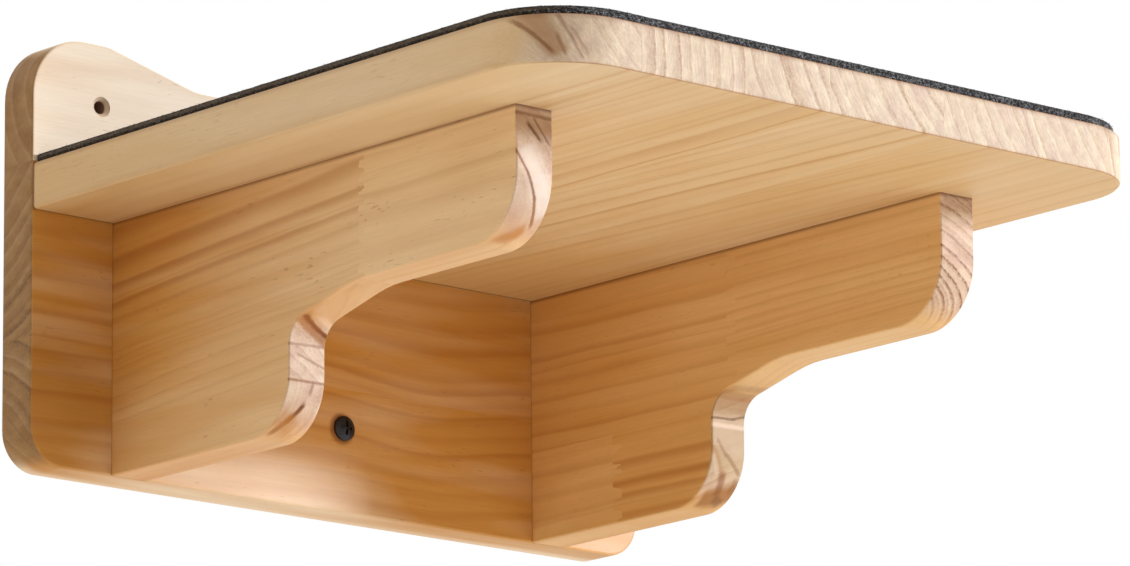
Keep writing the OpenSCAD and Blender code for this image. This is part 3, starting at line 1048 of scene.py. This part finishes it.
@dataclass(frozen=True)
class SteelFinish:
    """Screw steel, black or zinc: fine turned lines and dull patches."""

    name: str
    metal: Shade
    dull: Shade
    roughness: float
    metallic: float

    RELIEF = 0.03 * MM

    def build(self) -> bpy.types.Material:
        """Makes the material.

        Returns:
            The finished material.
        """
        desk = Desk(bpy.data.materials.new(self.name))
        x, y, z = desk.places()
        patch = desk.noise(desk.combine(x, y, z), 3.0, 0.6, scale=0.7)
        scratch = desk.noise(desk.combine(x * 6.0, y, z * 1.4), 2.0, 0.7)
        colour = desk.mix(patch.rise(0.38, 0.66), self.metal, self.dull)
        rough = (scratch * 0.28 + (self.roughness - 0.14)).held()
        return desk.finish(colour, rough, patch * 0.6 + scratch, self.RELIEF, Metallic=self.metallic,
                           Specular_IOR_Level=0.5)


@dataclass(frozen=True)
class BeechFinish:
    """Beech dowel: plain pale wood with short dark flecks along it."""

    name: str = "beech_dowel_wood"
    pale: Shade = Shade(206, 170, 130)
    dark: Shade = Shade(160, 116, 78)

    RELIEF = 0.06 * MM

    def build(self) -> bpy.types.Material:
        """Makes the material.

        Returns:
            The finished material.
        """
        desk = Desk(bpy.data.materials.new(self.name))
        x, y, z = desk.places()
        fleck = desk.noise(desk.combine(x * 1.6, y * 0.5, z), 2.0, 0.6)
        colour = desk.mix(fleck.rise(0.5, 0.7), self.pale, self.dark)
        return desk.finish(colour, fleck * 0.2 + 0.45, fleck, self.RELIEF)


@dataclass(frozen=True)
class FilmFinish:
    """Clear-white adhesive film with a faint crinkle."""

    name: str = "adhesive_film_white"
    light: Shade = Shade(214, 208, 196)
    dull: Shade = Shade(190, 182, 168)

    RELIEF = 0.05 * MM

    def build(self) -> bpy.types.Material:
        """Makes the material.

        Returns:
            The finished material.
        """
        desk = Desk(bpy.data.materials.new(self.name))
        crinkle = desk.noise(desk.where(), 3.0, 0.6, scale=160.0)
        colour = desk.mix(crinkle, self.light, self.dull)
        return desk.finish(colour, crinkle * 0.25 + 0.35, crinkle, self.RELIEF)


@dataclass(frozen=True)
class FeltFinish:
    """Charcoal needle felt: matted dark wool, pale fibres most on the cut edge, and painted light and shade on that
    edge.
    """

    name: str = "felt_charcoal"
    dark: Shade = Shade(24, 22, 21)
    light: Shade = Shade(112, 110, 106)
    pale: Shade = Shade(204, 204, 202)
    # A painted warm reflection, multiplied into the sides.
    side: Shade = Shade(252, 216, 160)
    # The colour of the painted light band round the sides' middle.
    side_band_light: Shade = Shade(122, 106, 90)
    # Below about this height the cut edge turns to painted shade.
    half_height: float = 20.2
    band_light_height: float = 20.1

    RELIEF = 0.4 * MM

    def build(self) -> bpy.types.Material:
        """Makes the material.

        Returns:
            The finished material.
        """
        desk = Desk(bpy.data.materials.new(self.name))
        out_x, _, up = desk.normal()
        x, y, z = desk.places()
        swirl_x, swirl_y, _ = desk.noise(desk.combine(x, y, z), 1.0, 0.5, colour=True, scale=0.5).split()
        x_here, y_here = swirl_x * 5.0 + x, swirl_y * 5.0 + y
        matt = desk.noise(desk.combine(x_here, y_here, z), 4.0, 0.7, scale=1.1)
        threads = [desk.noise(desk.combine(x_here * fine_x, y_here * fine_y, z * 3.0), 1.0).rise(0.60, 0.70)
                   for fine_x, fine_y in ((3.2, 0.8), (0.8, 3.2))]
        thread = desk.math("MAXIMUM", *threads)
        edge = (1.0 - abs(up)).held()
        side = abs(out_x).rise(0.5, 0.95)
        colour = desk.mix(matt.rise(0.34, 0.66), self.dark, self.light)
        clump = desk.noise(desk.combine(x, y, z * 1.3), 2.0, 0.6, scale=0.75)
        colour = desk.mix(clump.rise(0.58, 0.42) * 0.9, colour, self.dark)
        shown = (thread * (edge * 0.75 + 0.14)).held()
        colour = desk.mix(shown * clump.rise(0.44, 0.60), colour, self.pale)
        # Painted warm reflection on the sides.
        colour = desk.mix(side, colour, desk.mix(1.0, colour, self.side, Blend.MULTIPLY))
        # Painted shade: the cut edge darkens towards the bottom, most on the sides.
        low = z.rise(self.half_height + 0.9, self.half_height - 1.5) * edge
        colour = desk.mix(low * (side * 0.35 + 0.2), colour, self.dark)
        # Painted light: a lighter band round the middle of the sides.
        side_band_light = abs(z - self.band_light_height).fall(0.3, 1.0) * side
        colour = desk.mix((side_band_light * (matt * 1.4 - 0.15)).held(), colour, self.side_band_light)
        return desk.finish(colour, matt * 0.1 + 0.86, thread * 0.7 + matt, self.RELIEF,
                           Specular_IOR_Level=0.12, Sheen_Weight=0.08, Sheen_Roughness=0.6)


@dataclass(frozen=True)
class FibreFinish:
    """A loose wool fibre, dark or pale, slightly uneven along its length."""

    name: str
    root: Shade
    tip: Shade

    def build(self) -> bpy.types.Material:
        """Makes the material.

        Returns:
            The finished material.
        """
        desk = Desk(bpy.data.materials.new(self.name))
        uneven = desk.noise(desk.where(), 2.0, 0.6, scale=900.0)
        return desk.finish(desk.mix(uneven, self.root, self.tip), uneven * 0.2 + 0.7, Specular_IOR_Level=0.25)


def add_piece(name: str, verts: list, faces: list[tuple[int, ...]]) -> bpy.types.Object:
    """Makes a mesh object and puts it in the scene.

    Args:
        name: its name and its mesh's.
        verts: its vertices.
        faces: its faces, as rows of vertex numbers.

    Returns:
        The object.
    """
    mesh = bpy.data.meshes.new(name)
    mesh.from_pydata(verts, [], faces)
    piece = bpy.data.objects.new(name, mesh)
    bpy.context.scene.collection.objects.link(piece)
    return piece


class Ribbons:
    """Collects short curved ribbons, each a loose fibre, for one mesh."""

    STEPS = 3

    def __init__(self, chance: random.Random) -> None:
        """Starts with none.

        Args:
            chance: what each ribbon's twist is drawn from.
        """
        self.chance = chance
        self.verts: list[Vector] = []
        self.faces: list[tuple[int, ...]] = []
        self.pale: list[bool] = []

    def add(self, start: Vector, way: Vector, curl: Vector, length: float, width: float, light: bool) -> None:
        """Adds one ribbon.

        Args:
            start: where it starts.
            way: the direction that it starts in.
            curl: how far it bends away by its end, in lengths.
            length: its length.
            width: its width at the start; it ends half as wide.
            light: whether it is pale.
        """
        across = way.cross(Vector([self.chance.uniform(-1, 1) for _ in range(3)])).normalized() * width / 2
        base = len(self.verts)
        for i in range(self.STEPS + 1):
            t = i / self.STEPS
            at = start + way * length * t + curl * length * t * t
            self.verts.extend((at - across * (1 - 0.5 * t), at + across * (1 - 0.5 * t)))
        for a in range(base, base + 2 * self.STEPS, 2):
            self.faces.append((a, a + 1, a + 3, a + 2))
            self.pale.append(light)


@dataclass
class FeltPad:
    """The needle-felt pad: a cut sheet with a soft, slightly uneven edge, and the loose fibres on it."""

    seed: int = 7
    corner: float = 34.0 * MM
    step: float = 3.0 * MM
    uneven: float = 0.22 * MM
    round_in: float = 0.55 * MM
    sink: float = 0.12 * MM
    edge_fibres: int = 7000
    tufts: int = 1300
    tuft_width: float = 0.15 * MM
    top_fibres: int = 3600
    fibre_width: float = 0.11 * MM

    def __post_init__(self) -> None:
        """Takes the pad's room from the solid that it stands for."""
        self.low, self.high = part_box("felt_pad")
        self.chance = random.Random(self.seed)
        self.walk = self._outline()

    def _outline(self) -> list[tuple[Vector, Vector]]:
        """Walks round the pad.

        Returns:
            Points in plan with their outward directions, anticlockwise from the rear right corner.
        """
        x0, x1, y0, y1, r = self.low.x, self.high.x, self.low.y, self.high.y, self.corner
        points: list[tuple[Vector, Vector]] = []

        def line(a: tuple[float, float], b: tuple[float, float], out: tuple[float, float]) -> None:
            """Walks along a straight side.

            Args:
                a: where it starts.
                b: where it ends.
                out: its outward direction.
            """
            start, end = Vector(a), Vector(b)
            count = max(2, round((end - start).length / self.step))
            points.extend((start.lerp(end, i / count), Vector(out)) for i in range(count))

        def arc(middle: tuple[float, float], start: float) -> None:
            """Walks a quarter circle.

            Args:
                middle: its middle.
                start: the angle that it starts at, in degrees.
            """
            count = round(self.corner * math.pi / 2 / self.step)
            for i in range(count):
                turn = math.radians(start) + math.pi / 2 * i / count
                out = Vector((math.cos(turn), math.sin(turn)))
                points.append((Vector(middle) + out * r, out))
        line((x1, y1), (x0, y1), (0, 1))
        line((x0, y1), (x0, y0 + r), (-1, 0))
        arc((x0 + r, y0 + r), 180)
        line((x0 + r, y0), (x1 - r, y0), (0, -1))
        arc((x1 - r, y0 + r), 270)
        line((x1, y0 + r), (x1, y1), (1, 0))
        return points

    def build(self) -> bpy.types.Object:
        """Makes the sheet's mesh.

        Returns:
            The pad as an object.
        """
        count = len(self.walk)
        bottom, top = self.low.z, self.high.z
        # Each row's height and how far it lies inside the outline, from the bottom up.
        # All are uneven in plan, the lowest and the top two half as much, and the top three rise and sink too.
        rows = ((bottom, self.round_in * 0.5), (bottom + 0.35 * MM, self.round_in * 0.12), ((top + bottom) / 2, 0.0),
                (top - 0.7 * MM, self.round_in * 0.12), (top - 0.25 * MM, self.round_in * 0.45),
                (top - self.sink * 0.5, self.round_in), (top - self.sink, self.round_in + 1.6 * MM))
        verts: list[tuple[float, float, float]] = []
        wobble = [[self.chance.uniform(0, 1) for _ in range(count)] for _ in rows]
        for row, (z, inset) in enumerate(rows):
            for i, (point, out) in enumerate(self.walk):
                near = (wobble[row][i - 1] + 2 * wobble[row][i] + wobble[row][(i + 1) % count]) / 4
                pull = inset + self.uneven * near * (1.0 if 0 < row < len(rows) - 2 else 0.5)
                lift = self.sink * (wobble[row][i] - 0.5) if row >= len(rows) - 3 else 0.0
                at = point - out * pull
                verts.append((at.x, at.y, min(z + lift, top)))
        faces: list[tuple[int, ...]] = []
        for a in range(0, (len(rows) - 1) * count, count):
            for i in range(count):
                j = (i + 1) % count
                faces.append((a + j, a + count + j, a + count + i, a + i))
        faces.append(tuple(range(count)))
        faces.append(tuple(reversed(range((len(rows) - 1) * count, len(rows) * count))))
        pad = add_piece("felt_sheet", verts, faces)
        pad.data.validate()
        for face in pad.data.polygons:
            face.use_smooth = len(face.vertices) == 4
        pad.data.materials.append(FeltFinish().build())
        return pad

    def _edge_fibres(self, ribbons: Ribbons) -> None:
        """Strews fibres over the cut edge, which lie along it for the most part.

        Args:
            ribbons: what they are added to.
        """
        chance = self.chance
        for _ in range(self.edge_fibres):
            point, out = self.walk[chance.randrange(len(self.walk))]
            along, away = Vector((-out.y, out.x, 0.0)), Vector((out.x, out.y, 0.0))
            z = chance.uniform(self.low.z + 0.2 * MM, self.high.z - 0.1 * MM)
            start = Vector((*(point - out * 0.25 * MM), z)) + along * chance.uniform(-1.5, 1.5) * MM
            if out.y > 0.9:
                continue
            way = along * chance.choice((-1, 1)) + away * chance.uniform(0.1, 0.5)
            way += Vector((0, 0, chance.uniform(-0.5, 0.5)))
            curl = away * chance.uniform(-0.35, 0.1) + Vector((0, 0, chance.uniform(-0.3, 0.3)))
            length = chance.uniform(0.5, 1.7) * MM
            rise = z + (way.normalized().z + curl.z) * length
            if not self.low.z < rise < self.high.z + 0.25 * MM:
                curl.z = -way.normalized().z
            light = chance.random() < (0.12 if out.y < -0.5 else 0.03)
            ribbons.add(start, way.normalized(), curl, length, self.fibre_width, light)

    def _tufts(self, ribbons: Ribbons) -> None:
        """Adds small tufts of pale fibres to the front edge.

        Args:
            ribbons: what they are added to.
        """
        chance = self.chance
        for _ in range(self.tufts):
            point, out = self.walk[chance.randrange(len(self.walk))]
            if out.y > -0.5:
                continue
            along, away = Vector((-out.y, out.x, 0.0)), Vector((out.x, out.y, 0.0))
            middle = along * chance.uniform(-1.5, 1.5) * MM
            low = self.low.z + abs(chance.gauss(0.0, 1.0)) * MM
            for _ in range(chance.randint(2, 9)):
                z = min(low + chance.uniform(0.05, 0.6) * MM, self.high.z - 0.3 * MM)
                start = Vector((*(point - out * 0.2 * MM), z)) + middle + along * chance.gauss(0.0, 0.35) * MM
                way = away * chance.uniform(0.4, 0.9) + along * chance.uniform(-0.7, 0.7)
                way += Vector((0, 0, chance.uniform(-0.5, 0.2)))
                drop = min(0.6, (z - self.low.z) / MM + 0.15)
                curl = -away * chance.uniform(0.1, 0.4) + Vector((0, 0, -drop * chance.uniform(0.3, 1.0)))
                ribbons.add(start, way.normalized(), curl, chance.uniform(0.5, 1.1) * MM, self.tuft_width, True)

    def _top_fibres(self, ribbons: Ribbons) -> None:
        """Strews fibres over the top.

        Args:
            ribbons: what they are added to.
        """
        chance = self.chance
        for _ in range(self.top_fibres):
            x = chance.uniform(self.low.x + 2 * MM, self.high.x - 2 * MM)
            y = chance.uniform(self.low.y + 2 * MM, self.high.y - 1 * MM)
            dx = max(0.0, abs(x) - (self.high.x - self.corner))
            dy = max(0.0, (self.low.y + self.corner) - y)
            if dx and dy and math.hypot(dx, dy) > self.corner - 1.5 * MM:
                continue
            turn = chance.uniform(0, 2 * math.pi)
            way = Vector((math.cos(turn), math.sin(turn), chance.uniform(0.02, 0.25))).normalized()
            curl = Vector((chance.uniform(-0.5, 0.5), chance.uniform(-0.5, 0.5), -way.z))
            start, length = Vector((x, y, self.high.z - 0.16 * MM)), chance.uniform(1.0, 3.0) * MM
            ribbons.add(start, way, curl, length, self.fibre_width, chance.random() < 0.35)

    def fibres(self) -> bpy.types.Object:
        """Makes the loose fibres on the cut edge and the top.

        Returns:
            One object that holds them all, with a dark and a pale material.
        """
        ribbons = Ribbons(self.chance)
        self._edge_fibres(ribbons)
        self._tufts(ribbons)
        self._top_fibres(ribbons)
        piece = add_piece("felt_fibres", [tuple(v) for v in ribbons.verts], ribbons.faces)
        for finish in (FibreFinish("fibre_dark", Shade(24, 23, 24), Shade(58, 57, 60)),
                       FibreFinish("fibre_pale", Shade(140, 142, 150), Shade(214, 216, 224))):
            piece.data.materials.append(finish.build())
        for face, light in zip(piece.data.polygons, ribbons.pale):
            face.material_index = 1 if light else 0
        return piece

    def place(self) -> None:
        pad, fibres = self.build(), self.fibres()
        for piece in (pad, fibres):
            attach(piece, BODY)
        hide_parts("felt_pad")
        LOG.info("felt pad built, %d faces, with %d fibre faces", len(pad.data.polygons), len(fibres.data.polygons))


@dataclass(frozen=True)
class Hardware:
    """The screws, dowels and film, which keep their CAD meshes."""

    nodes: dict[str, bpy.types.Object]

    BLACK = SteelFinish("black_steel_worn", Shade(18, 16, 17), Shade(34, 31, 34), 0.42, 0.25)
    ZINC = SteelFinish("zinc_steel_dull", Shade(176, 176, 182), Shade(140, 142, 150), 0.38, 1.0)

    def dress(self) -> None:
        """Gives each piece the first finish whose word its name holds."""
        finishes = [(word, finish.build()) for word, finish in (
            ("wall_screw", self.BLACK), ("screw", self.ZINC), ("dowel", BeechFinish()), ("adhesive", FilmFinish()))]
        for name, node in self.nodes.items():
            fitting = [finish for word, finish in finishes if word in name]
            if fitting:
                node.material_slots[0].material = fitting[0]
                LOG.info("%s dressed in %s", name, fitting[0].name)


@dataclass(frozen=True)
class Viewpoint:
    """Where the photograph was taken from, solved from the traced edges of the part."""

    turn: float = 41.227
    rise: float = 13.127
    roll: float = -0.523
    place: tuple[float, float, float] = (-1.76442, -2.16151, -0.65441)
    focal: float = 7376.1
    sensor: float = 36.0
    nearest: float = 0.05
    farthest: float = 60.0

    def set_up(self) -> None:
        """Makes the camera and makes it the scene's."""
        a, b, c = (math.radians(v) for v in (self.turn, self.rise, self.roll))
        ahead = Vector((math.sin(a) * math.cos(b), math.cos(a) * math.cos(b), math.sin(b)))
        level = Vector((math.cos(a), -math.sin(a), 0.0))
        over = level.cross(ahead)
        right = math.cos(c) * level + math.sin(c) * over
        up = -math.sin(c) * level + math.cos(c) * over
        data = bpy.data.cameras.new("photo_camera")
        data.sensor_fit = "HORIZONTAL"
        data.sensor_width = self.sensor
        data.lens = self.focal / IMAGE_WIDTH * self.sensor
        data.clip_start, data.clip_end = self.nearest, self.farthest
        camera = bpy.data.objects.new("photo_camera", data)
        columns = Matrix((right, up, -ahead)).transposed().to_4x4()
        camera.matrix_world = Matrix.Translation(self.place) @ columns
        bpy.context.scene.collection.objects.link(camera)
        bpy.context.scene.camera = camera


@dataclass(frozen=True)
class SoftBox:
    """A soft lamp that looks at the part from a direction."""

    name: str
    turn: float
    rise: float
    away: float
    size: tuple[float, float]
    power: float
    tint: tuple[float, float, float]

    def set_up(self, aim: Vector) -> None:
        """Makes the lamp.

        Args:
            aim: the point that it looks at.
        """
        turn, rise = math.radians(self.turn), math.radians(self.rise)
        way = Vector((math.sin(turn) * math.cos(rise), -math.cos(turn) * math.cos(rise), math.sin(rise)))
        data = bpy.data.lights.new(self.name, "AREA")
        data.shape = "RECTANGLE"
        data.size, data.size_y = self.size
        data.energy = self.power
        data.color = self.tint
        lamp = bpy.data.objects.new(self.name, data)
        lamp.location = aim + way * self.away
        lamp.rotation_euler = (-way).to_track_quat("-Z", "Y").to_euler()
        bpy.context.scene.collection.objects.link(lamp)


@dataclass(frozen=True)
class Studio:
    """A plain pale floor below the step, an even white surround and one soft key from the right front."""

    floor_height: float = -1.0
    floor_half: float = 5.0
    floor_cells: int = 12
    rim_from: float = 0.8
    rim_slope: float = 0.02
    floor_light: Shade = Shade(244, 243, 240)
    floor_dull: Shade = Shade(238, 236, 232)
    behind: tuple[float, ...] = (0.84, 0.79, 0.70, 1.0)
    before: tuple[float, ...] = (0.42, 0.385, 0.325, 1.0)
    leftward: tuple[float, ...] = (0.90, 0.94, 1.08, 1.0)
    rightward: tuple[float, ...] = (1.04, 1.0, 0.92, 1.0)
    above: tuple[float, ...] = (1.8, 1.8, 1.85, 1.0)
    white: tuple[float, ...] = (1.0, 1.0, 1.0, 1.0)
    key: SoftBox = SoftBox("key", 46.0, 9.5, 3.5, (0.85, 0.45), 99.5, (0.98, 1.05, 1.22))
    aim: tuple[float, float, float] = (0.0, -0.16, -0.02)

    def _floor(self) -> None:
        """Builds the floor: a broad sheet that rises slightly at its rim."""
        half, cells = self.floor_half, self.floor_cells
        verts, faces = [], []
        for i in range(cells + 1):
            for j in range(cells + 1):
                x, y = (2 * k / cells - 1 for k in (i, j))
                rim = max(0.0, max(abs(x), abs(y)) - self.rim_from)
                verts.append((x * half, y * half, self.floor_height + self.rim_slope * rim))
                if i < cells and j < cells:
                    a = len(verts) - 1
                    faces.append((a, a + cells + 1, a + cells + 2, a + 1))
        floor = add_piece("floor", verts, faces)
        desk = Desk(bpy.data.materials.new("floor_paint"))
        cloud = desk.noise(desk.where(), 3.0, 0.6, scale=3.0)
        colour = desk.mix(cloud, self.floor_light, self.floor_dull)
        floor.data.materials.append(desk.finish(colour, cloud * 0.1 + 0.75, Specular_IOR_Level=0.2))

    def _surround(self) -> None:
        """Makes the world: white to the eye and in reflections, an even soft light on the part."""
        world = bpy.data.worlds.new("surround")
        desk = Desk(world)
        x, y, z = desk.give("ShaderNodeTexCoord", {}, "Generated").split()
        depth = desk.mix(y.rise(-0.35, 0.45), self.before, self.behind)
        sides = desk.mix(x.rise(-0.8, 0.8), self.leftward, self.rightward)
        light = desk.mix(1.0, depth, sides, Blend.MULTIPLY)
        light = desk.mix(z.rise(0.35, 0.95), light, self.above, Blend.MULTIPLY)
        seen = desk.give("ShaderNodeLightPath", {}, "Is Camera Ray")
        for kind in ("Is Glossy Ray", "Is Transmission Ray"):
            seen = desk.math("MAXIMUM", seen, desk.give("ShaderNodeLightPath", {}, kind))
        glows = [desk.give("ShaderNodeBackground", {"Color": colour}) for colour in (light, self.white)]
        shown = desk.give("ShaderNodeMixShader", {0: seen, 1: glows[0], 2: glows[1]})
        desk.add("ShaderNodeOutputWorld", {"Surface": shown})
        bpy.context.scene.world = world

    def set_up(self) -> None:
        """Builds the floor, the surround and the lamp."""
        self._floor()
        self._surround()
        self.key.set_up(Vector(self.aim))
        bpy.context.scene.view_settings.view_transform = "Standard"
        LOG.info("studio set up")


def main() -> None:
    """Builds each class in order and reports each piece."""
    logging.basicConfig(level=logging.INFO, format="%(message)s")
    Viewpoint().set_up()
    Studio().set_up()
    nodes = frame["nodes"]
    Boards(nodes).dress()
    Hardware(nodes).dress()
    FeltPad().place()


if __name__ == "__main__":
    main()
